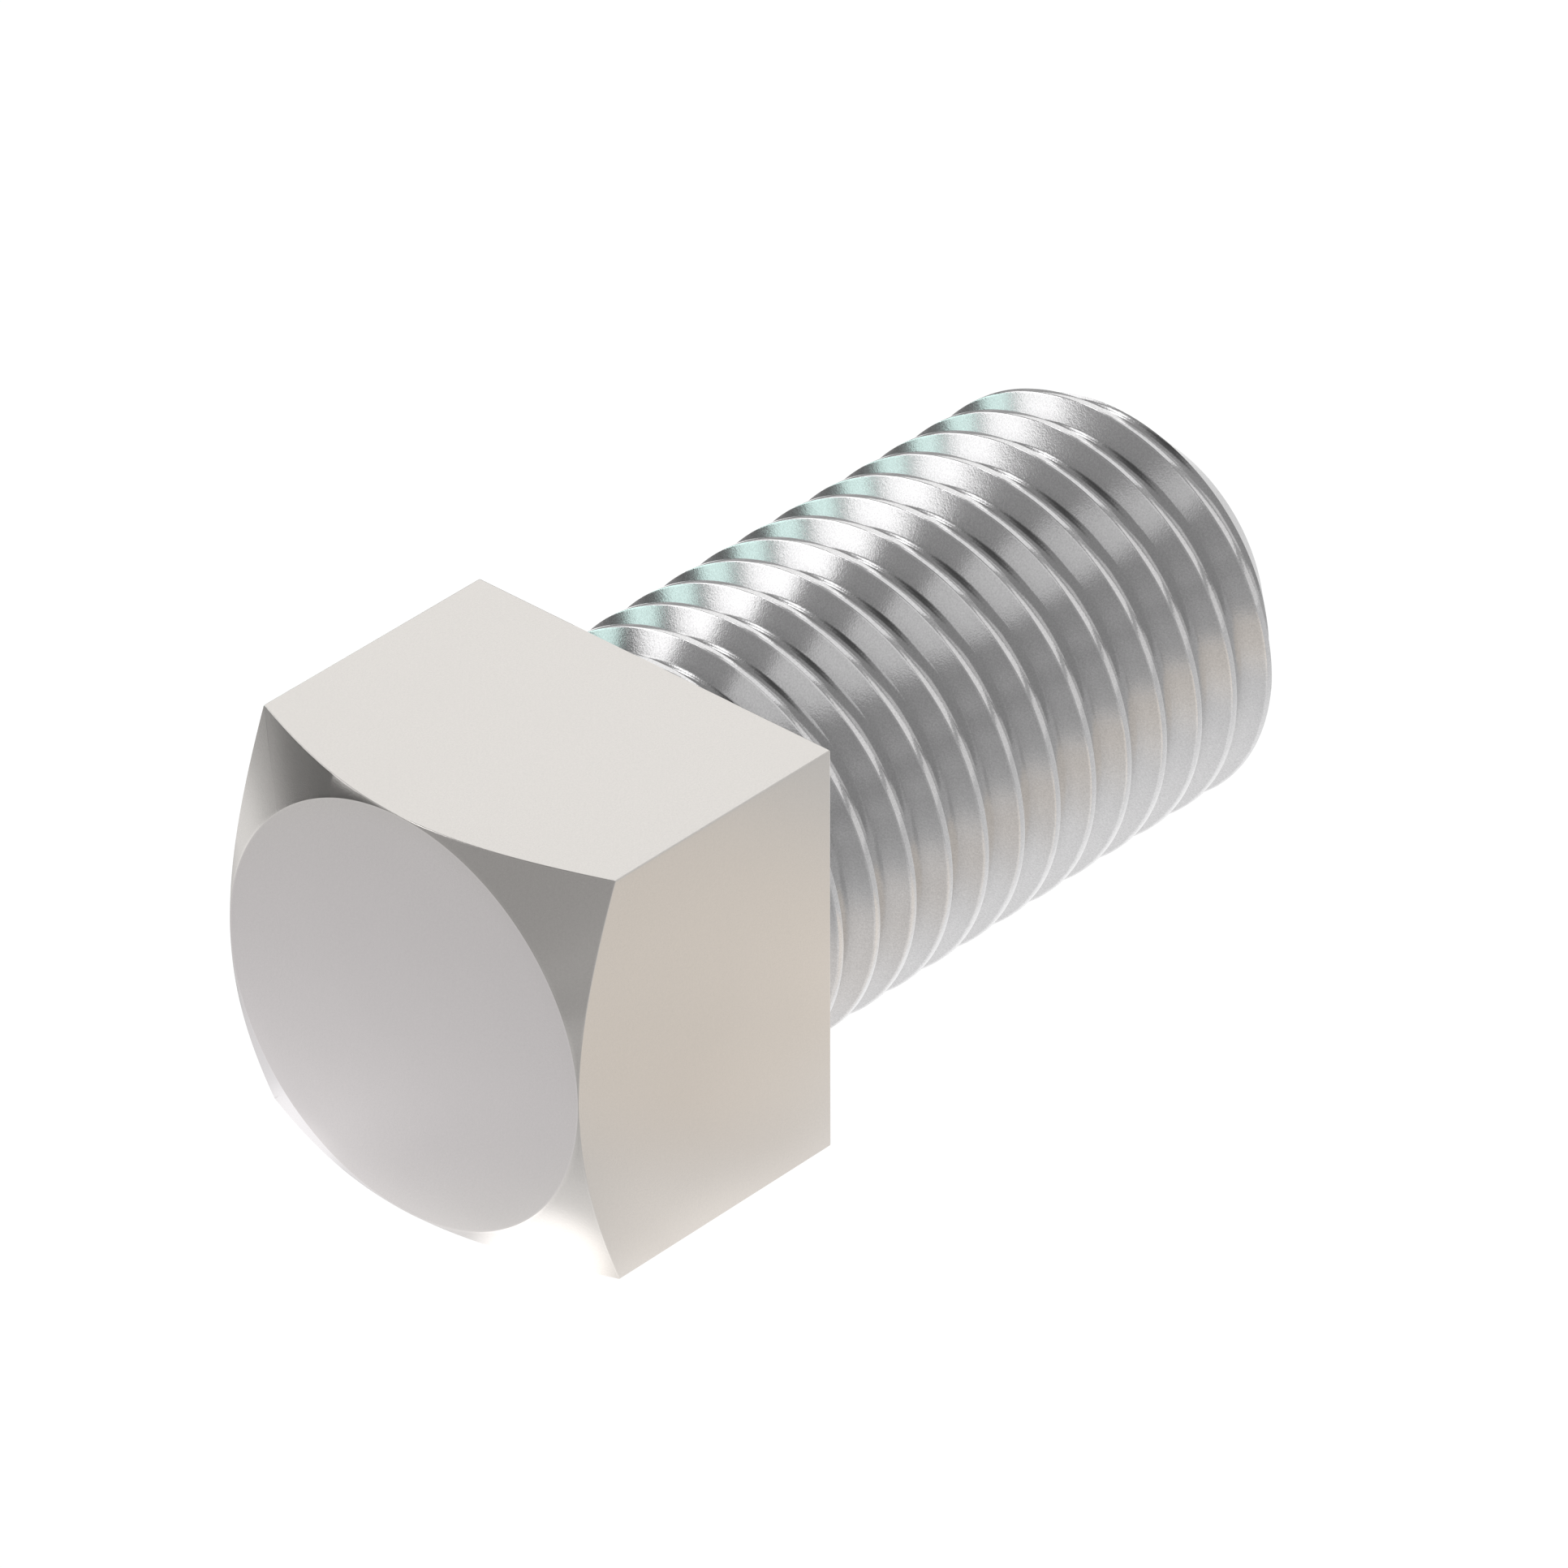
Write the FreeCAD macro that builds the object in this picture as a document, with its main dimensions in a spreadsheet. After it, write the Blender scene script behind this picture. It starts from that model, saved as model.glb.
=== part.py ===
import FreeCAD, Part
import math
import os
import Sketcher

# Square head set screw: one turned and threaded piece of steel, with a square head that is
# chamfered to a round end face, a shank threaded right up to the head, and a cup point.
# Frame: the origin is on the screw's axis, in the plane of the head's underside. +X runs along
# the axis to the point, and +Z stands square to the upper flat of the head.

node_name = "set_screw"

# Driving sizes, in millimetres and degrees.
driving_sizes = [
    ("width_across_flats", "31.4", "head, from flat to opposite flat"),
    ("head_height", "24.5", "head, from its underside to its round end face"),
    ("end_face_inset", "0.05", "from each flat in to the round face at the end of the head"),
    ("head_chamfer_angle", "30", "from the end face down to the head's chamfer"),
    ("length_under_head", "50", "from the head's underside to the rim of the cup"),
    ("thread_diameter", "31.2", "over the crests of the thread"),
    ("thread_pitch", "3.6286", "from crest to crest, 7 threads in 25.4 mm"),
    ("thread_angle", "60", "between the two flanks of a groove"),
    ("crest_share", "0.125", "flat crest of the thread, as a share of its pitch"),
    ("root_share", "0.1667", "flat bottom of the groove, as a share of the pitch"),
    ("first_crest", "0.25", "on the upper side, from the head's underside to a crest"),
    ("point_chamfer_depth", "5.05", "from the crests in to the outside of the cup's rim"),
    ("point_chamfer_angle", "45", "from the screw's axis to the point's chamfer"),
    ("cup_rim", "0.4", "width of the flat rim round the cup"),
    ("cup_angle", "118", "across the cone of the cup"),
]


def fill_sheet(doc):
    """Write one row for each driving size, with its meaning beside it."""
    sheet = doc.addObject("Spreadsheet::Sheet", "Sizes")
    for row, (alias, value, meaning) in enumerate(driving_sizes, start=1):
        sheet.set("A%d" % row, meaning)
        sheet.set("B%d" % row, value)
        sheet.setAlias("B%d" % row, alias)
    doc.recompute()


def new_sketch(body, label, plane_role):
    """Add a sketch that lies on one of the body's origin planes."""
    sketch = body.newObject("Sketcher::SketchObject", label)
    planes = [item for item in body.Origin.OriginFeatures if item.Role == plane_role]
    sketch.AttachmentSupport = [(planes[0], "")]
    sketch.MapMode = "FlatFace"
    return sketch


def constrain(sketch, label, formula, *geometry):
    """Add a dimension that follows its formula of driving sizes."""
    value = float(sketch.evalExpression(formula))
    if geometry[0] == "Angle":
        value = math.radians(value)
    index = sketch.addConstraint(Sketcher.Constraint(*geometry, value))
    sketch.renameConstraint(index, label)
    sketch.setExpression("Constraints." + label, formula)


def draw_outline(sketch, corners):
    """Draw a closed outline of straight lines through corners tied to their formulas.

    A corner is its name, its formula along the axis and its formula out from the axis.
    """
    points = []
    for label, along, outward in corners:
        points.append(FreeCAD.Vector(
            float(sketch.evalExpression(along)), float(sketch.evalExpression(outward)), 0))
    for index, point in enumerate(points):
        following = points[(index + 1) % len(points)]
        sketch.addGeometry(Part.LineSegment(point, following), False)
    for index in range(len(points)):
        following = (index + 1) % len(points)
        sketch.addConstraint(Sketcher.Constraint("Coincident", index, 2, following, 1))
    for index, (label, along, outward) in enumerate(corners):
        constrain(sketch, label + "_along", along, "DistanceX", -1, 1, index, 1)
        constrain(sketch, label + "_out", outward, "DistanceY", -1, 1, index, 1)


def turn_shank(body):
    """Turn the plain shank with its point chamfer and its cup."""
    sketch = new_sketch(body, "ShankProfile", "XZ_Plane")
    crest_radius = "Sizes.thread_diameter / 2"
    rim_radius = crest_radius + " - Sizes.point_chamfer_depth"
    cup_radius = rim_radius + " - Sizes.cup_rim"
    rim_along = "Sizes.length_under_head"
    draw_outline(sketch, [
        ("shank_centre", "0", "0"),
        ("shank_start", "0", crest_radius),
        ("chamfer_start",
         rim_along + " - Sizes.point_chamfer_depth / tan(Sizes.point_chamfer_angle)", crest_radius),
        ("rim_outside", rim_along, rim_radius),
        ("rim_inside", rim_along, cup_radius),
        ("cup_bottom", "%s - (%s) / tan(Sizes.cup_angle / 2)" % (rim_along, cup_radius), "0"),
    ])
    shank = body.newObject("PartDesign::Revolution", "Shank")
    shank.Profile = sketch
    shank.ReferenceAxis = (sketch, ["H_Axis"])
    shank.Angle = 360
    return shank


def cut_thread(body):
    """Cut the right-hand thread: one groove with a flat bottom, wound past both ends."""
    sketch = new_sketch(body, "GrooveProfile", "XZ_Plane")
    middle = "Sizes.first_crest - Sizes.thread_pitch / 2"
    crest_radius = "Sizes.thread_diameter / 2"
    slope = "tan(Sizes.thread_angle / 2)"
    half_crest = "Sizes.crest_share * Sizes.thread_pitch / 2"
    half_root = "Sizes.root_share * Sizes.thread_pitch / 2"
    half_opening = "(Sizes.thread_pitch / 2 - %s)" % half_crest
    depth = "(%s - %s) / %s" % (half_opening, half_root, slope)

    # The cutter stands out of the blank by less than half a crest, so its turns never meet.
    overrun = half_crest + " / 2"
    half_top = "(%s + %s * %s)" % (half_opening, overrun, slope)
    draw_outline(sketch, [
        ("root_head_side", "%s - %s" % (middle, half_root), "%s - %s" % (crest_radius, depth)),
        ("root_point_side", "%s + %s" % (middle, half_root), "%s - %s" % (crest_radius, depth)),
        ("top_point_side", "%s + %s" % (middle, half_top), "%s + %s" % (crest_radius, overrun)),
        ("top_head_side", "%s - %s" % (middle, half_top), "%s + %s" % (crest_radius, overrun)),
    ])

    thread = body.newObject("PartDesign::SubtractiveHelix", "Thread")
    thread.Profile = sketch
    thread.ReferenceAxis = (sketch, ["H_Axis"])
    thread.Mode = "pitch-height-angle"
    thread.setExpression("Pitch", "Sizes.thread_pitch")
    thread.setExpression("Height", "Sizes.length_under_head + 2 * Sizes.thread_pitch")
    thread.LeftHanded = False
    thread.Reversed = False
    return thread


def forge_head(body):
    """Add the square head behind the thread, then turn its end to a round face."""
    sketch = new_sketch(body, "HeadSquare", "YZ_Plane")
    half_width = float(sketch.evalExpression("Sizes.width_across_flats / 2"))
    corners = [(-1, -1), (1, -1), (1, 1), (-1, 1)]
    for index, (across, up) in enumerate(corners):
        next_across, next_up = corners[(index + 1) % len(corners)]
        sketch.addGeometry(Part.LineSegment(
            FreeCAD.Vector(across * half_width, up * half_width, 0),
            FreeCAD.Vector(next_across * half_width, next_up * half_width, 0)), False)
    for index in range(len(corners)):
        following = (index + 1) % len(corners)
        sketch.addConstraint(Sketcher.Constraint("Coincident", index, 2, following, 1))
    lower, right, upper, left = range(4)
    for side in (lower, upper):
        sketch.addConstraint(Sketcher.Constraint("Horizontal", side))
    for side in (right, left):
        sketch.addConstraint(Sketcher.Constraint("Vertical", side))
    sketch.addConstraint(Sketcher.Constraint("Symmetric", lower, 1, upper, 1, -1, 1))
    sketch.addConstraint(Sketcher.Constraint("Equal", lower, right))
    constrain(sketch, "width_across_flats", "Sizes.width_across_flats", "DistanceX", lower, 1, lower, 2)

    head = body.newObject("PartDesign::Pad", "Head")
    head.Profile = sketch
    head.Reversed = True
    head.setExpression("Length", "Sizes.head_height")

    # The chamfer's cone starts at the end face and passes outside the corners of the square.
    profile = new_sketch(body, "HeadChamferProfile", "XZ_Plane")
    face_radius = "(Sizes.width_across_flats / 2 - Sizes.end_face_inset)"
    reach = "Sizes.width_across_flats"
    cone_end = "-Sizes.head_height + (%s - %s) * tan(Sizes.head_chamfer_angle)" % (reach, face_radius)
    draw_outline(profile, [
        ("face_edge", "-Sizes.head_height", face_radius),
        ("cone_end", cone_end, reach),
        ("outer_corner", "-Sizes.head_height", reach),
    ])
    chamfer = body.newObject("PartDesign::Groove", "HeadChamfer")
    chamfer.Profile = profile
    chamfer.ReferenceAxis = (profile, ["H_Axis"])
    chamfer.Angle = 360
    return head, chamfer


def check(doc, body):
    """Stop with a plain message if anything in the model failed."""
    for item in doc.Objects:
        if "Invalid" in item.State or "Error" in item.State:
            raise RuntimeError("%s failed: %s" % (item.Name, item.State))
    if body.Shape.isNull() or not body.Shape.isValid():
        raise RuntimeError("%s has no valid shape" % body.Label)
    if len(body.Shape.Solids) != 1:
        raise RuntimeError("%s isn't one solid" % body.Label)


def build():
    doc = FreeCAD.newDocument("SquareHeadSetScrew")
    fill_sheet(doc)
    body = doc.addObject("PartDesign::Body", "SetScrew")
    body.Label = node_name
    body.Placement = FreeCAD.Placement()
    doc.recompute()
    shank = turn_shank(body)
    doc.recompute()
    thread = cut_thread(body)
    doc.recompute()
    head, chamfer = forge_head(body)
    body.Tip = chamfer
    doc.recompute()
    check(doc, body)
    for feature in (shank, thread, head, chamfer):
        print("%-12s volume %.1f mm3" % (feature.Label, feature.Shape.Volume))
    os.makedirs("parts", exist_ok=True)
    body.Shape.exportStep(os.path.join("parts", node_name + ".step"))


build()
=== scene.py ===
import bmesh
import bpy
import math
from mathutils import Euler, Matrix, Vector


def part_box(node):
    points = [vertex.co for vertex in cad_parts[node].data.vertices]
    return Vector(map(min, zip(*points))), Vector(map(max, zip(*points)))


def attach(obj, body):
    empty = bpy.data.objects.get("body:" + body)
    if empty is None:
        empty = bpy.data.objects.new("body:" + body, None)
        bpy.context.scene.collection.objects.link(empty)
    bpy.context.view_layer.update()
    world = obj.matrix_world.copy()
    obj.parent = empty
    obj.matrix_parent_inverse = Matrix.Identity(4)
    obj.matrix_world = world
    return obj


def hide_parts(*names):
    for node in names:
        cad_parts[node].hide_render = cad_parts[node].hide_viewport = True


# Square head set screw: a satin steel screw lying on a white table, seen from its head end.
# Everything is in metres, with +X along the screw to its point and +Z up.

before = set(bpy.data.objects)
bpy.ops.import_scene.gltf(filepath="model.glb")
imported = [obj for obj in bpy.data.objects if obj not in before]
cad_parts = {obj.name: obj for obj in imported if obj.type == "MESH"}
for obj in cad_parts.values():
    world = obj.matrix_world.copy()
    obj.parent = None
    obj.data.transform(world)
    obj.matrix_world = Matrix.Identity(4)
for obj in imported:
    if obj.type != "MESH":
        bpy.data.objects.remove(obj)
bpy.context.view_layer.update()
screwLow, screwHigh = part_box("set_screw")
millimetre = 0.001

# The screw's mesh is a ring of profiles. Each profile runs from the middle of the end face,
# over the head and down the thread to the bottom of the cup, at one angle round the axis.
screw = {
    "columns": 320,                      # profiles round the axis
    "cornerColumns": 5,                  # profiles on each rounded long edge of the head
    "edgeRounding": 0.10 * millimetre,   # the head's edges
    "rimRounding": 0.06 * millimetre,    # the edges of the cup's rim
    "endFaceInset": 0.05 * millimetre,   # from a flat in to the round end face
    "headChamferAngle": 30,
    "threadDiameter": 31.2 * millimetre,
    "pitch": 3.6286 * millimetre,
    "threadAngle": 60,
    "crestShare": 0.125,                 # flat crest, as a share of the pitch
    "rootRounding": 0.22,                # radius of the root, as a share of the pitch
    "crestRounding": 0.035 * millimetre,
    "firstCrest": 0.25 * millimetre,     # from the underside to a crest, on the upper side
    "pointChamferDepth": 5.05 * millimetre,
    "cupRim": 0.4 * millimetre,
    "cupAngle": 118,
    "endFaceRings": (0, 0.3, 0.6, 0.9),  # points on the end face, as shares of its radius
    "cornerShare": 0.45,                 # of a short side, the most that rounding its corner takes
    "rootSteps": (60, 40, 20, 0),        # degrees round the root, from the flank to its bottom
    "flankEnds": (0.04, 0.96),           # points that keep a flank's shading flat between them
    "sharpAngle": 32,                    # faces that meet at a larger angle keep their edge
    "joinDistance": 2e-7,                # points nearer than this become one
    "dissolveSize": 1e-8,                # smaller edges and faces are taken out
}


def roundCorners(points, radius, steps):
    # cuts every inner corner of a line of points with a small arc, smaller where there is no room
    rounded = [points[0]]
    for before, corner, after in zip(points, points[1:], points[2:]):
        inward = Vector(before) - Vector(corner)
        outward = Vector(after) - Vector(corner)
        turn = math.pi - inward.angle(outward)
        most = screw["cornerShare"] * min(inward.length, outward.length)
        setback = min(radius * math.tan(turn / 2), most)
        start = Vector(corner) + inward.normalized() * setback
        end = Vector(corner) + outward.normalized() * setback
        for step in range(steps + 1):
            share = step / steps
            # a quadratic curve through the corner stays within a hair of the arc
            pull = Vector(corner) * 2 * share * (1 - share)
            point = start * (1 - share) ** 2 + pull + end * share ** 2
            rounded.append((point.x, point.y))
    rounded.append(points[-1])
    return rounded


def squareRadius(angle):
    # how far the rounded square of the head reaches at this angle
    half = screwHigh.z
    rounding = screw["edgeRounding"]
    folded = abs((angle + math.pi / 4) % (math.pi / 2) - math.pi / 4)
    if folded < math.atan((half - rounding) / half):
        return half / math.cos(folded)
    reach = (half - rounding) * math.sqrt(2)
    off = math.pi / 4 - folded
    return reach * math.cos(off) + math.sqrt(rounding ** 2 - (reach * math.sin(off)) ** 2)


def headAngles():
    # evenly spaced, with a few more on the rounded long edges of the head
    quarter = math.pi / 2
    angles = [4 * quarter * column / screw["columns"] for column in range(screw["columns"] + 1)]
    half = screwHigh.z
    edgeStart = math.atan((half - screw["edgeRounding"]) / half)
    for edge in range(4):
        for step in range(screw["cornerColumns"]):
            share = step / (screw["cornerColumns"] - 1)
            angles.append(edge * quarter + edgeStart + share * (quarter - 2 * edgeStart))
    return sorted({round(angle, 9) for angle in angles})


def headProfile(angle, threadStart):
    # from the middle of the end face, over the chamfer and the flat, to the underside
    reach = squareRadius(angle)
    faceRadius = screwHigh.z - screw["endFaceInset"]
    slope = math.tan(math.radians(screw["headChamferAngle"]))
    end = screwLow.x
    rings = [(end, faceRadius * share) for share in screw["endFaceRings"]]
    corners = [
        rings[-1],
        (end, faceRadius),
        (end + (reach - faceRadius) * slope, reach),
        (0, reach),
        (0, threadStart),
    ]
    return rings[:-1] + roundCorners(corners, screw["edgeRounding"], 3)[:-1]


def rimRadii():
    # of the cup's rim, outside and inside
    outside = screw["threadDiameter"] / 2 - screw["pointChamferDepth"]
    return outside, outside - screw["cupRim"]


def between(a, b, share):
    return (a[0] + (b[0] - a[0]) * share, a[1] + (b[1] - a[1]) * share)


def ridgeOutline():
    # one ridge of the thread: offsets along the axis from the middle of its crest, and radii
    pitch = screw["pitch"]
    half = math.radians(screw["threadAngle"] / 2)
    crestRadius = screw["threadDiameter"] / 2
    rootRadius = screw["rootRounding"] * pitch
    halfCrest = screw["crestShare"] * pitch / 2
    # the two flanks of a groove are tangent to the rounded root
    opening = pitch / 2 - halfCrest
    rootCentre = crestRadius - (opening - rootRadius / math.cos(half)) / math.tan(half)
    right = [(halfCrest, crestRadius)]
    for degrees in screw["rootSteps"]:
        swing = math.radians(degrees)
        along = pitch / 2 - rootRadius * math.sin(swing)
        right.append((along, rootCentre - rootRadius * math.cos(swing)))
    crest = roundCorners([(0, crestRadius)] + right[:2], screw["crestRounding"], 2)[1:-1]
    flank = [between(right[0], right[1], share) for share in screw["flankEnds"]]
    side = crest + flank + right[1:]
    return [(-along, out) for along, out in reversed(side[:-1])] + side


def threadProfile(angle, ridge):
    # the thread in the plane at this angle, cut by the underside and by the point's chamfer
    pitch = screw["pitch"]
    length = screwHigh.x
    rimRadius, _ = rimRadii()
    turns = math.ceil(length / pitch) + 2
    line = []
    for turn in range(-2, turns):
        middle = screw["firstCrest"] + pitch * (angle / (2 * math.pi) + turn)
        line += [(middle + along, out) for along, out in ridge]

    def chamfer(along):
        # how far out the 45 degree chamfer of the point lets the thread reach
        return rimRadius + max(length - along, 0)

    # where the thread comes out of the head's underside
    for a, b in zip(line, line[1:]):
        if a[0] <= 0 < b[0]:
            start = between(a, b, -a[0] / (b[0] - a[0]))

    # every profile has the same number of points: those left of the underside all lie on the
    # thread's start, and those beyond the point all lie on the rim
    profile = []
    for a, b in zip(line, line[1:]):
        overA = a[1] - chamfer(a[0])
        overB = b[1] - chamfer(b[0])
        clipped = (min(a[0], length), min(a[1], chamfer(a[0])))
        profile.append(clipped if a[0] > 0 else (0, start[1]))
        if a[0] > 0 and overA * overB < 0:
            profile.append(between(a, b, overA / (overA - overB)))
        else:
            profile.append(profile[-1])
    profile.append((length, rimRadius))
    return profile


def cupProfile():
    # over the rim and down to the bottom of the cup
    length = screwHigh.x
    rimRadius, cupRadius = rimRadii()
    depth = cupRadius / math.tan(math.radians(screw["cupAngle"] / 2))
    onChamfer = 0.1 * screw["cupRim"]
    corners = [
        (length - onChamfer, rimRadius + onChamfer),
        (length, rimRadius),
        (length, cupRadius),
        (length - depth, 0),
    ]
    return roundCorners(corners, screw["rimRounding"], 2)


def placeProfile(profile, angle):
    # the angle runs from straight up towards -Y
    return [(along, -out * math.sin(angle), out * math.cos(angle)) for along, out in profile]


def buildScrew():
    ridge = ridgeOutline()
    cup = cupProfile()
    angles = headAngles()
    columns = len(angles) - 1
    points = []
    for column, angle in enumerate(angles):
        # the thread's own profiles stay evenly spaced
        threadTurn = 2 * math.pi * column / columns
        thread = threadProfile(threadTurn, ridge)
        head = headProfile(angle, thread[0][1])
        points += placeProfile(head, angle) + placeProfile(thread + cup, threadTurn)
    rows = len(points) // (columns + 1)
    faces = []
    for column in range(columns):
        for row in range(rows - 1):
            a = column * rows + row
            faces.append((a, a + 1, a + rows + 1, a + rows))
    mesh = bpy.data.meshes.new("setScrew")
    mesh.from_pydata(points, [], faces)
    for polygon in mesh.polygons:
        polygon.material_index = 0 if polygon.index % (rows - 1) < len(head) else 1
    piece = bpy.data.objects.new("setScrew", mesh)
    bpy.context.collection.objects.link(piece)
    joinPoints(mesh)
    mesh.shade_smooth()
    mesh.set_sharp_from_angle(angle=math.radians(screw["sharpAngle"]))
    weighted = piece.modifiers.new("flatFaces", "WEIGHTED_NORMAL")
    weighted.keep_sharp = True
    print("screw: %d faces, %d points" % (len(mesh.polygons), len(mesh.vertices)))
    return piece


def joinPoints(mesh):
    # the profiles share their ends, and many points of the thread fall on its two ends
    work = bmesh.new()
    work.from_mesh(mesh)
    bmesh.ops.remove_doubles(work, verts=work.verts, dist=screw["joinDistance"])
    bmesh.ops.dissolve_degenerate(work, dist=screw["dissolveSize"], edges=work.edges)
    bmesh.ops.recalc_face_normals(work, faces=work.faces)
    openEdges = [edge for edge in work.edges if not edge.is_manifold]
    print("screw: %d open edges" % len(openEdges))
    work.to_mesh(mesh)
    work.free()


# the finish of the head and of the thread, sizes in millimetres
steel = {
    "headColour": (0.82, 0.79, 0.76),
    # the thread is darker than the head: partly its rolled finish, partly painted shade of the
    # grooves
    "threadColour": (0.65, 0.645, 0.65),
    "headRoughness": 0.24,
    "threadRoughness": 0.155,
    "roughnessDrift": 0.03,
    "headGrain": 0.12,        # size of the grain
    "threadGrain": 0.12,
    "coarseGrain": 0.35,      # how fine the coarse grain is, against the fine grain
    "coarseHeight": 0.6,      # how high it is
    "headBump": 0.0025,       # height of the grain
    "threadBump": 0.004,
    "headSpeckle": 0.12,      # how much the grain changes the tone
    "threadSpeckle": 0.45,
    "driftSize": 7,
    "driftAmount": 0.04,
    "wearWidth": 0.16,
    "wearPatches": 900,       # patches in a metre that break the wear up
    "headWear": 1.06,         # tone of a rubbed edge, more than 1 is lighter
    "threadWear": 1.30,
    "wearPolish": 0.05,       # how much smoother a rubbed edge is
    "rootPaintedShade": 0.86,         # painted shade at the root of the groove, less than 1 is darker
    "rootShadeFade": (0.8, 1.9),   # how deep in the groove the painted shade starts and is full
}


def newGroup(name, inputs, outputs):
    group = bpy.data.node_groups.new(name, "ShaderNodeTree")
    for label, value in inputs:
        socket = group.interface.new_socket(label, in_out="INPUT", socket_type="NodeSocketFloat")
        socket.default_value = value
    for label in outputs:
        group.interface.new_socket(label, in_out="OUTPUT", socket_type="NodeSocketFloat")
    return group, group.nodes.new("NodeGroupInput"), group.nodes.new("NodeGroupOutput")


def placeGroup(tree, group, values):
    node = tree.nodes.new("ShaderNodeGroup")
    node.node_tree = group
    for label, value in values.items():
        setSocket(tree, node.inputs[label], value)
    return node


def setSocket(tree, socket, value):
    if isinstance(value, bpy.types.NodeSocket):
        tree.links.new(value, socket)
    else:
        socket.default_value = value


def mathNode(tree, operation, *values):
    node = tree.nodes.new("ShaderNodeMath")
    node.operation = operation
    for socket, value in zip(node.inputs, values):
        setSocket(tree, socket, value)
    return node.outputs[0]


def noiseNode(tree, vector, scale, detail):
    node = tree.nodes.new("ShaderNodeTexNoise")
    tree.links.new(vector, node.inputs["Vector"])
    setSocket(tree, node.inputs["Scale"], scale)
    node.inputs["Detail"].default_value = detail
    return node.outputs["Fac"]


def fadeNode(tree, value, none, full):
    # 0 where the value is at or before none, 1 where it is at or beyond full
    fade = tree.nodes.new("ShaderNodeMapRange")
    fade.interpolation_type = "SMOOTHSTEP"
    setSocket(tree, fade.inputs["Value"], value)
    setSocket(tree, fade.inputs["From Min"], none)
    setSocket(tree, fade.inputs["From Max"], full)
    return fade.outputs["Result"]


def makeGrainGroup():
    # fine blasted grain: a height for the bump and a soft speckle, grain size in millimetres
    group, given, result = newGroup(
        "steelGrain", [("Grain Size", 0.1), ("Speckle", 0.1)], ["Height", "Shade"])
    place = group.nodes.new("ShaderNodeTexCoord").outputs["Object"]
    scale = mathNode(group, "DIVIDE", 1000, given.outputs["Grain Size"])
    coarseScale = mathNode(group, "MULTIPLY", scale, steel["coarseGrain"])
    fine = noiseNode(group, place, scale, detail=2)
    coarse = noiseNode(group, place, coarseScale, detail=2)
    height = mathNode(group, "MULTIPLY_ADD", coarse, steel["coarseHeight"], fine)
    centred = mathNode(group, "SUBTRACT", fine, 0.5)
    shade = mathNode(group, "MULTIPLY_ADD", centred, given.outputs["Speckle"], 1)
    group.links.new(height, result.inputs["Height"])
    group.links.new(shade, result.inputs["Shade"])
    return group


def makeDriftGroup():
    # slow change of tone over the surface, as handling and cleaning leave it
    group, given, result = newGroup(
        "toneDrift", [("Patch Size", 6), ("Amount", 0.05)], ["Shade", "Mask"])
    place = group.nodes.new("ShaderNodeTexCoord").outputs["Object"]
    scale = mathNode(group, "DIVIDE", 1000, given.outputs["Patch Size"])
    patches = noiseNode(group, place, scale, detail=3)
    centred = mathNode(group, "SUBTRACT", patches, 0.5)
    shade = mathNode(group, "MULTIPLY_ADD", centred, given.outputs["Amount"], 1)
    group.links.new(shade, result.inputs["Shade"])
    group.links.new(patches, result.inputs["Mask"])
    return group


def makeWearGroup():
    # rubbed bright where the distance from an edge is small, a little broken up
    group, given, result = newGroup("edgeWear", [("Distance", 0), ("Width", 0.2)], ["Mask"])
    place = group.nodes.new("ShaderNodeTexCoord").outputs["Object"]
    patches = noiseNode(group, place, steel["wearPatches"], detail=2)
    uneven = mathNode(group, "ADD", patches, 0.5)
    width = mathNode(group, "MULTIPLY", given.outputs["Width"], uneven)
    group.links.new(fadeNode(group, given.outputs["Distance"], width, 0), result.inputs["Mask"])
    return group


def headEdgeDistance(tree, parts):
    # millimetres from the nearest edge of the head, on any of its faces
    half = screwHigh.z
    faceRadius = half - screw["endFaceInset"]
    slope = math.tan(math.radians(screw["headChamferAngle"]))
    across = mathNode(tree, "ABSOLUTE", parts["Y"])
    up = mathNode(tree, "ABSOLUTE", parts["Z"])
    toFlat = mathNode(tree, "SUBTRACT", half, mathNode(tree, "MAXIMUM", across, up))
    toSide = mathNode(tree, "SUBTRACT", half, mathNode(tree, "MINIMUM", across, up))
    toEnd = mathNode(tree, "SUBTRACT", parts["X"], screwLow.x)
    toUnderside = mathNode(tree, "MULTIPLY", parts["X"], -1)
    coneReach = mathNode(tree, "MULTIPLY_ADD", toEnd, 1 / slope, faceRadius)
    toChamfer = mathNode(tree, "SUBTRACT", coneReach, parts["radius"])
    beside = mathNode(tree, "MINIMUM", mathNode(tree, "MINIMUM", toSide, toChamfer), toUnderside)
    onFlat = mathNode(tree, "ADD", toFlat, beside)
    onEnd = mathNode(tree, "ADD", toChamfer, toEnd)
    nearest = mathNode(tree, "MINIMUM", onFlat, onEnd)
    return mathNode(tree, "DIVIDE", nearest, millimetre)


def threadDepthAndRootShade(tree, parts):
    # millimetres in from the crests, and a mask that is 1 at the root of the groove, where shade is
    # painted into the colour
    crestRadius = screw["threadDiameter"] / 2
    inward = mathNode(tree, "SUBTRACT", crestRadius, parts["radius"])
    depth = mathNode(tree, "DIVIDE", inward, millimetre)
    rootShadeMask = fadeNode(tree, depth, *steel["rootShadeFade"])
    chamferStart = screwHigh.x - screw["pointChamferDepth"]
    beforePoint = fadeNode(tree, parts["X"], chamferStart + millimetre, chamferStart)
    return depth, mathNode(tree, "MULTIPLY", rootShadeMask, beforePoint)


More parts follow.
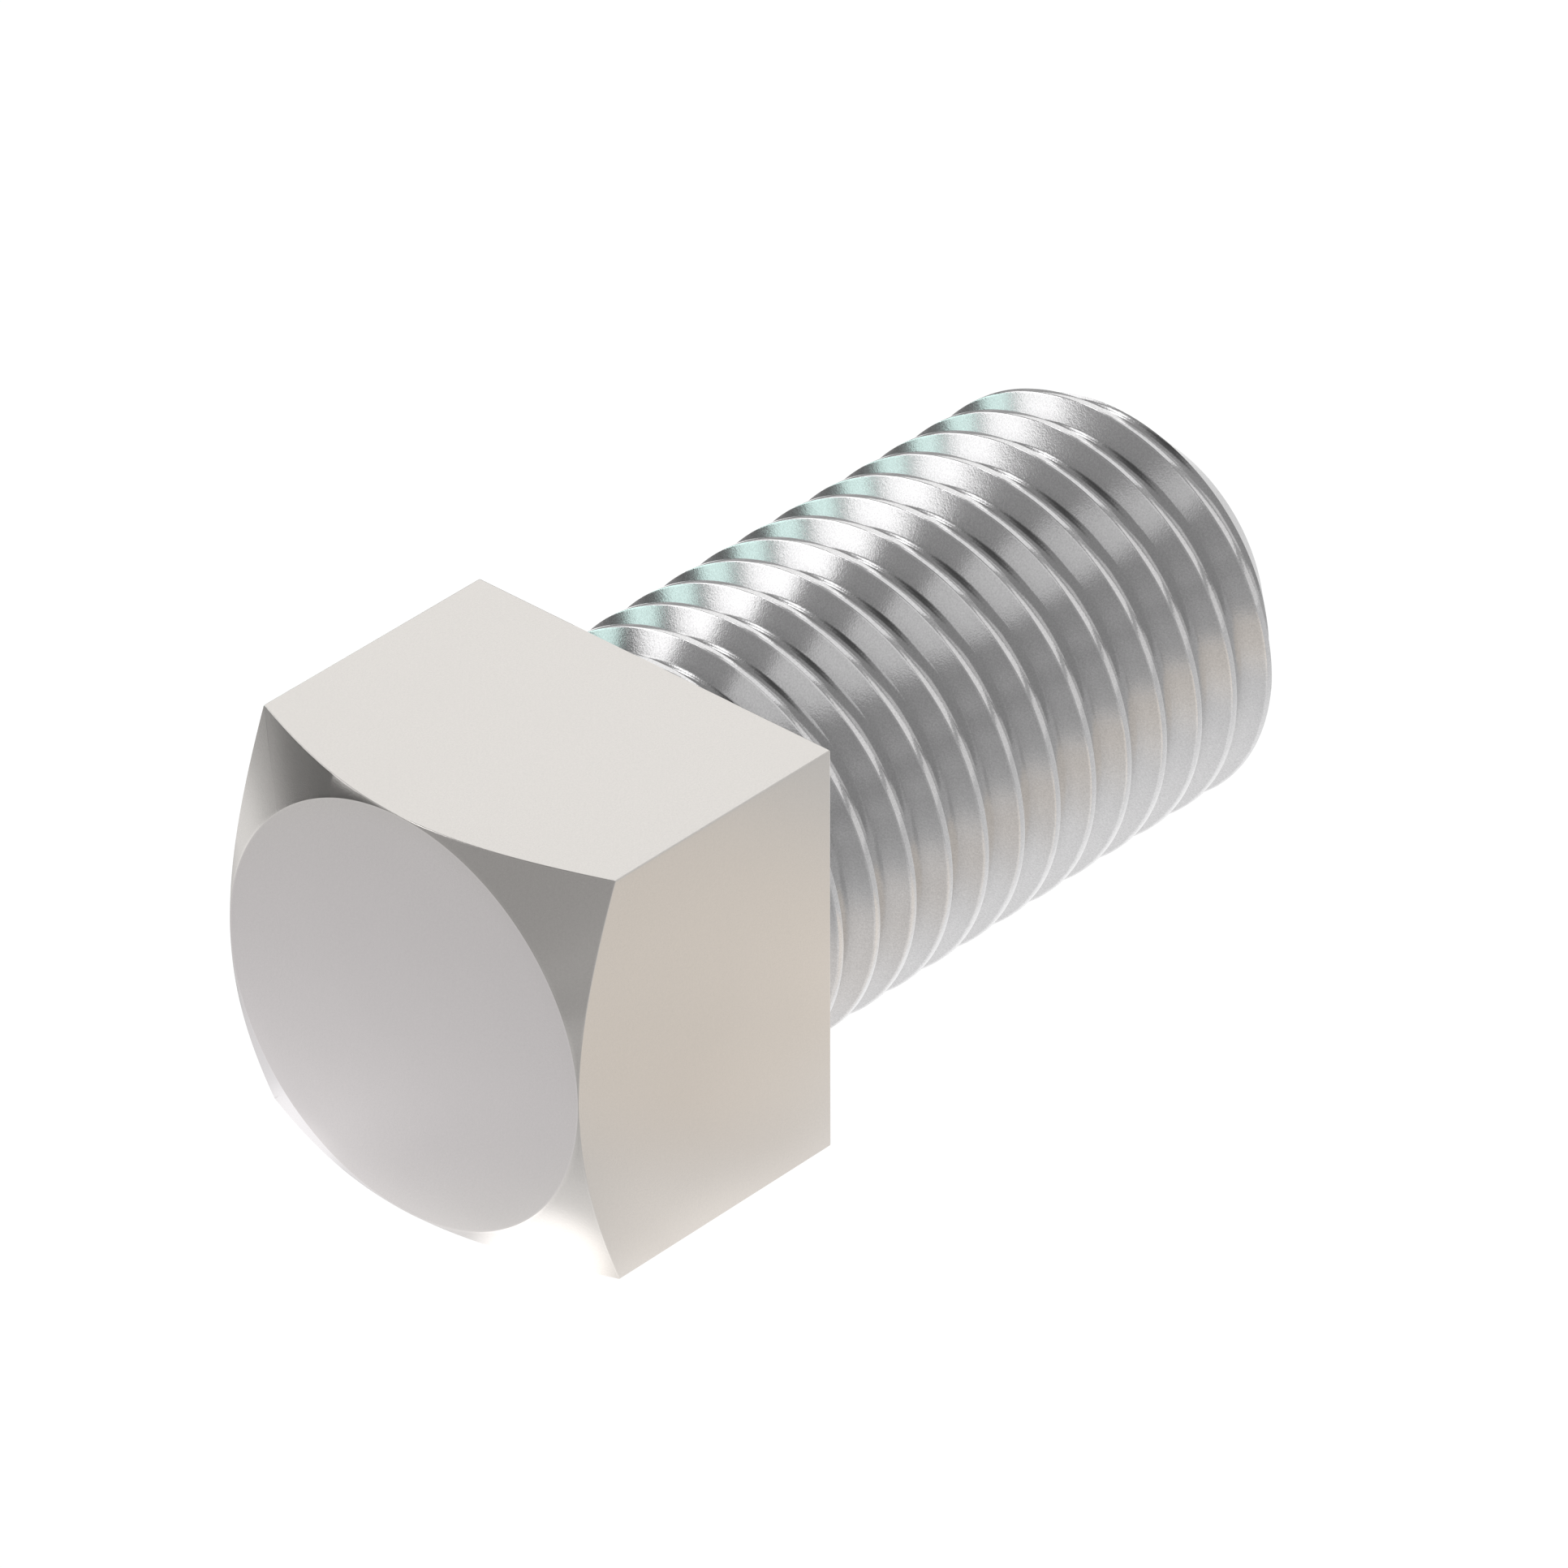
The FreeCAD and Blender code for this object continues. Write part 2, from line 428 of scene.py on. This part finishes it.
def coordinateParts(tree):
    # the place on the screw, and its distance from the screw's axis
    split = tree.nodes.new("ShaderNodeSeparateXYZ")
    tree.links.new(tree.nodes.new("ShaderNodeTexCoord").outputs["Object"], split.inputs[0])
    parts = {axis: split.outputs[axis] for axis in "XYZ"}
    squares = [mathNode(tree, "MULTIPLY", parts[axis], parts[axis]) for axis in "YZ"]
    parts["radius"] = mathNode(tree, "SQRT", mathNode(tree, "ADD", *squares))
    return parts


def makeSteel(name, part, groups):
    material = bpy.data.materials.new(name)
    material.use_nodes = True
    tree = material.node_tree
    shader = tree.nodes["Principled BSDF"]
    shader.inputs["Metallic"].default_value = 1
    grain = placeGroup(tree, groups["grain"], {
        "Grain Size": steel[part + "Grain"], "Speckle": steel[part + "Speckle"]})
    drift = placeGroup(tree, groups["drift"], {
        "Patch Size": steel["driftSize"], "Amount": steel["driftAmount"]})
    parts = coordinateParts(tree)
    if part == "head":
        edgeDistance = headEdgeDistance(tree, parts)
        tone = 1
    else:
        edgeDistance, rootShadeMask = threadDepthAndRootShade(tree, parts)
        # painted shade: the thread's colour darkens towards the root of the groove
        tone = mathNode(tree, "MULTIPLY_ADD", rootShadeMask, steel["rootPaintedShade"] - 1, 1)
    wear = placeGroup(tree, groups["wear"], {
        "Distance": edgeDistance, "Width": steel["wearWidth"]})

    # base colour, shaded by grain, drift, wear and painted shade at the root of the groove
    shade = mathNode(tree, "MULTIPLY", grain.outputs["Shade"], drift.outputs["Shade"])
    shade = mathNode(tree, "MULTIPLY", shade, tone)
    worn = mathNode(tree, "MULTIPLY_ADD", wear.outputs["Mask"], steel[part + "Wear"] - 1, 1)
    tint = tree.nodes.new("ShaderNodeVectorMath")
    tint.operation = "SCALE"
    tint.inputs[0].default_value = steel[part + "Colour"]
    tree.links.new(mathNode(tree, "MULTIPLY", shade, worn), tint.inputs["Scale"])
    tree.links.new(tint.outputs[0], shader.inputs["Base Color"])

    # polish, which drifts and is smoother on rubbed edges
    centred = mathNode(tree, "SUBTRACT", drift.outputs["Mask"], 0.5)
    roughness = mathNode(
        tree, "MULTIPLY_ADD", centred, steel["roughnessDrift"], steel[part + "Roughness"])
    roughness = mathNode(
        tree, "MULTIPLY_ADD", wear.outputs["Mask"], -steel["wearPolish"], roughness)
    tree.links.new(roughness, shader.inputs["Roughness"])

    bump = tree.nodes.new("ShaderNodeBump")
    bump.inputs["Distance"].default_value = steel[part + "Bump"] * millimetre
    tree.links.new(grain.outputs["Height"], bump.inputs["Height"])
    tree.links.new(bump.outputs["Normal"], shader.inputs["Normal"])
    return material


studio = {
    "tableSize": 1.6,
    "tableColour": (0.88, 0.88, 0.88),
    "tableRoughness": 0.9,
    "tableGlow": 1.10,         # what the camera sees of the table, 1 is white
    "tableGlowShare": 0.9,     # the rest is lit by the lamps and keeps the shadow
    # painted pool of light on the table, as the metal sees it: distance from the screw's middle
    # line, brightness
    "paintedPoolSteps": [
        (0.0, 1.02), (0.012, 0.97), (0.016, 0.91), (0.019, 0.81), (0.022, 0.77), (0.026, 0.71),
        (0.031, 0.66), (0.038, 0.62), (0.056, 0.585), (0.140, 0.52), (0.350, 0.55)],
    # soft patches of painted light and shade on the table's glow: x, y, inner and outer radius,
    # tint
    "paintedTablePatches": [
        (0.008, -0.042, 0.014, 0.029, (1.20, 1.13, 1.05)),     # cream, beside the head
        (-0.010, -0.016, 0.006, 0.020, (1.00, 0.97, 0.94)),    # dull, close to the head
        (0.002, -0.024, 0.006, 0.016, (0.90, 0.90, 0.90)),     # dull, beside the shank
        (-0.044, 0.018, 0.016, 0.040, (1.00, 0.99, 1.03)),     # cool, before the end face
        (-0.029, 0.000, 0.003, 0.012, (0.90, 0.90, 0.90)),     # dull, close to the end face
        (-0.045, -0.042, 0.018, 0.040, (0.72, 0.72, 0.72)),    # dull, beside the end face
        (-0.240, -0.050, 0.100, 0.200, (0.65, 0.65, 0.65)),    # dull, far before the end face
        (-0.0225, -0.0105, 0.003, 0.006, (1.60, 1.60, 1.60)),  # bright, under the near lower corner
        (-0.0225, 0.012, 0.003, 0.006, (1.15, 1.15, 1.15)),    # light, under the far lower corner
        (0.095, 0.014, 0.020, 0.045, (1.18, 1.18, 1.18)),      # light, beyond the point
        (0.056, 0.046, 0.026, 0.048, (2.10, 2.10, 2.10)),      # bright, behind the point
        (0.150, 0.180, 0.085, 0.150, (0.40, 0.40, 0.40)),      # dark, far behind the point
        (0.000, 0.135, 0.025, 0.055, (0.60, 0.60, 0.60)),      # dark, behind the thread
        (-0.030, 0.078, 0.014, 0.036, (1.45, 1.45, 1.45)),     # light, behind the head
        (-0.100, 0.270, 0.060, 0.150, (0.38, 0.38, 0.38)),     # dark, farther behind the head
        (-0.220, 0.450, 0.120, 0.220, (0.16, 0.16, 0.16)),     # dark, farthest behind the head
    ],
    "worldGrey": 0.36,         # the surroundings for every ray but the camera's, which sees white
    # soft patches of the surroundings: direction, inner and outer radius in degrees, brightness
    "worldPatches": [
        ((-0.45, 0.89, 0.00), 13, 32, 0.08),     # dark, level with the screw
        ((-0.96, 0.14, 0.24), 11, 28, 0.34),     # dull, before the head
        ((-0.77, 0.09, 0.63), 5, 15, 0.08),      # dark, for the spots beside the root
        ((-0.52, -0.05, 0.85), 5, 17, 0.10),     # the same, higher up
    ],
    # name, place, place it faces, width, height, colour, brightness
    "cards": [
        ("topSoftbox", (0.43, 0.40, 0.39), (0, 0, 0), 0.40, 0.34, (1, 1, 0.99), 0.77),
        ("sideSoftbox", (0.35, -0.44, 0.42), (0, 0, 0), 0.44, 0.40, (1, 0.99, 0.98), 0.47),
        ("lowSoftbox", (0.34, -0.60, 0.07), (0, 0, 0), 0.60, 0.20, (1, 0.99, 0.98), 0.36),
        ("overheadCard", (0.33, 0.05, 0.60), (0, 0, 0), 0.36, 0.42, (1, 1, 1), 0.53),
        # glints beside the root of the groove
        ("rootLamp", (-0.447, 0.345, 0.415), (0, 0, 0), 0.11, 0.16, (1, 1, 1), 2.6),
        ("upperRootLamp", (-0.300, 0.340, 0.535), (0, 0, 0), 0.12, 0.12, (1, 1, 1), 3.0),
        # close behind the thread
        ("whiteStrip", (-0.022, 0.062, 0.034), (0.02, 0, 0.015), 0.072, 0.016, (1, 1, 1), 1.8),
        ("greenStrip", (0.002, 0.060, 0.017), (0.02, 0, 0.015), 0.066, 0.009, (0.76, 1, 0.95), 1.6),
        # over the head, facing the thread
        ("headStrip", (-0.020, -0.007, 0.0235), (0.025, -0.007, 0.0125), 0.020, 0.013,
         (1, 1, 1), 0.5),
    ],
    "lampPower": 2.5,          # watts per square metre at brightness 1, seen as 0.8 of white
}


def makeTable():
    half = studio["tableSize"] / 2
    mesh = bpy.data.meshes.new("table")
    corners = [(x * half, y * half, screwLow.z) for x, y in ((-1, -1), (1, -1), (1, 1), (-1, 1))]
    mesh.from_pydata(corners, [], [(0, 1, 2, 3)])
    table = bpy.data.objects.new("table", mesh)
    bpy.context.collection.objects.link(table)
    material = bpy.data.materials.new("whiteTable")
    material.use_nodes = True
    tree = material.node_tree
    paper = tree.nodes["Principled BSDF"]
    paper.inputs["Base Color"].default_value = (*studio["tableColour"], 1)
    paper.inputs["Roughness"].default_value = studio["tableRoughness"]
    path = tree.nodes.new("ShaderNodeLightPath")
    mirrored = mathNode(
        tree, "MAXIMUM", path.outputs["Is Glossy Ray"], path.outputs["Is Transmission Ray"])
    seen = mathNode(tree, "MULTIPLY", path.outputs["Is Camera Ray"], studio["tableGlowShare"])

    # the camera sees an even white, the metal sees a painted pool of light round the screw
    pool, tint = paintedPoolOfLight(tree)
    evenGlow = tree.nodes.new("ShaderNodeEmission")
    evenGlow.inputs["Strength"].default_value = studio["tableGlow"]
    paintedPoolGlow = tree.nodes.new("ShaderNodeEmission")
    tree.links.new(pool, paintedPoolGlow.inputs["Strength"])
    tree.links.new(tint, paintedPoolGlow.inputs["Color"])
    camera = tree.nodes.new("ShaderNodeMixShader")
    metal = tree.nodes.new("ShaderNodeMixShader")
    tree.links.new(seen, camera.inputs["Fac"])
    tree.links.new(paper.outputs[0], camera.inputs[1])
    tree.links.new(evenGlow.outputs[0], camera.inputs[2])
    tree.links.new(mirrored, metal.inputs["Fac"])
    tree.links.new(camera.outputs[0], metal.inputs[1])
    tree.links.new(paintedPoolGlow.outputs[0], metal.inputs[2])
    tree.links.new(metal.outputs[0], tree.nodes["Material Output"].inputs["Surface"])
    table.data.materials.append(material)


def paintedPoolOfLight(tree):
    # the painted glow of the table round the screw, and its patches of painted light and shade
    place = tree.nodes.new("ShaderNodeTexCoord").outputs["Object"]
    parts = tree.nodes.new("ShaderNodeSeparateXYZ")
    tree.links.new(place, parts.inputs[0])
    # distance from the screw's middle line, so the pool has the oblong shape of the screw
    middle = (screwLow.x + screwHigh.x) / 2
    reach = (screwHigh.x - screwLow.x) / 2 - screwHigh.z
    along = mathNode(tree, "ABSOLUTE", mathNode(tree, "SUBTRACT", parts.outputs["X"], middle))
    beside = mathNode(tree, "ABSOLUTE", parts.outputs["Y"])
    distance = mathNode(tree, "MAXIMUM", mathNode(tree, "SUBTRACT", along, reach), beside)
    steps = studio["paintedPoolSteps"]
    ramp = tree.nodes.new("ShaderNodeValToRGB")
    farthest = steps[-1][0]
    tree.links.new(mathNode(tree, "DIVIDE", distance, farthest), ramp.inputs["Fac"])
    brightest = max(value for _, value in steps)
    stops = ramp.color_ramp.elements
    while len(stops) < len(steps):
        stops.new(0.5)    # its place follows below
    for stop, (away, value) in zip(stops, steps):
        stop.position = away / farthest
        stop.color = (value / brightest,) * 3 + (1,)
    glow = mathNode(tree, "MULTIPLY", ramp.outputs["Color"], brightest)

    colour = None
    for x, y, inner, outer, tint in studio["paintedTablePatches"]:
        away = tree.nodes.new("ShaderNodeVectorMath")
        away.operation = "DISTANCE"
        tree.links.new(place, away.inputs[0])
        away.inputs[1].default_value = (x, y, screwLow.z)
        mask = fadeNode(tree, away.outputs["Value"], outer, inner)
        colour = addPatch(tree, colour, mask, tint)
    return glow, colour


def addPatch(tree, under, mask, tint):
    # multiplies what is under the mask by the tint
    mix = tree.nodes.new("ShaderNodeMix")
    mix.data_type = "RGBA"
    mix.blend_type = "MULTIPLY"
    tree.links.new(mask, mix.inputs["Factor"])
    setSocket(tree, mix.inputs["A"], under or (1, 1, 1, 1))
    mix.inputs["B"].default_value = (*tint, 1)
    return mix.outputs["Result"]


def makeWorld():
    world = bpy.data.worlds.new("studio")
    bpy.context.scene.world = world
    world.use_nodes = True
    tree = world.node_tree
    path = tree.nodes.new("ShaderNodeLightPath")
    background = tree.nodes["Background"]
    grey = studio["worldGrey"]
    direction = tree.nodes.new("ShaderNodeTexCoord").outputs["Generated"]

    # the grey of the surroundings, as a tint for each patch over the even grey
    shade = None
    for towards, inner, outer, brightness in studio["worldPatches"]:
        along = tree.nodes.new("ShaderNodeVectorMath")
        along.operation = "DOT_PRODUCT"
        tree.links.new(direction, along.inputs[0])
        along.inputs[1].default_value = Vector(towards).normalized()
        edges = [math.cos(math.radians(angle)) for angle in (outer, inner)]
        mask = fadeNode(tree, along.outputs["Value"], *edges)
        shade = addPatch(tree, shade, mask, (brightness / grey,) * 3)

    # the camera sees plain white
    tint = tree.nodes.new("ShaderNodeMix")
    tint.data_type = "RGBA"
    tree.links.new(path.outputs["Is Camera Ray"], tint.inputs["Factor"])
    tree.links.new(shade, tint.inputs["A"])
    tint.inputs["B"].default_value = (1, 1, 1, 1)
    tree.links.new(tint.outputs["Result"], background.inputs["Color"])
    strength = mathNode(tree, "MULTIPLY_ADD", path.outputs["Is Camera Ray"], 1 - grey, grey)
    tree.links.new(strength, background.inputs["Strength"])


def makeCards():
    for name, place, target, width, height, colour, brightness in studio["cards"]:
        lamp = bpy.data.lights.new(name, "AREA")
        lamp.shape = "RECTANGLE"
        lamp.size = width
        lamp.size_y = height
        lamp.color = colour
        lamp.energy = brightness * studio["lampPower"] * width * height
        card = bpy.data.objects.new(name, lamp)
        bpy.context.collection.objects.link(card)
        card.location = place
        card.rotation_euler = (Vector(place) - Vector(target)).to_track_quat("Z", "Y").to_euler()
        card.visible_camera = False    # it shows only in the metal and in its light


view = {
    "place": (-583.28, -540.30, 527.23),      # millimetres
    "turn": (56.7583, 0.1629, -47.9166),      # degrees
    "lens": 329.14,
    "sensor": 36,
    "clip": (0.05, 20),                       # metres
}


def makeCamera():
    camera = bpy.data.cameras.new("camera")
    camera.lens = view["lens"]
    camera.sensor_width = view["sensor"]
    camera.sensor_fit = "HORIZONTAL"
    camera.clip_start, camera.clip_end = view["clip"]
    holder = bpy.data.objects.new("camera", camera)
    bpy.context.collection.objects.link(holder)
    holder.location = Vector(view["place"]) * millimetre
    holder.rotation_euler = Euler([math.radians(angle) for angle in view["turn"]])
    bpy.context.scene.camera = holder


bpy.context.scene.view_settings.view_transform = "Standard"
makeCamera()
makeTable()
makeWorld()
makeCards()
print("studio: table, world, %d cards and the camera" % len(studio["cards"]))

groups = {"grain": makeGrainGroup(), "drift": makeDriftGroup(), "wear": makeWearGroup()}
headSteel = makeSteel("satinHeadSteel", "head", groups)
threadSteel = makeSteel("rolledThreadSteel", "thread", groups)
print("materials: head and thread steel")

setScrew = buildScrew()
setScrew.data.materials.append(headSteel)
setScrew.data.materials.append(threadSteel)
setScrew.visible_glossy = False    # the grooves don't mirror each other, as in the photograph
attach(setScrew, "root")
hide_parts("set_screw")
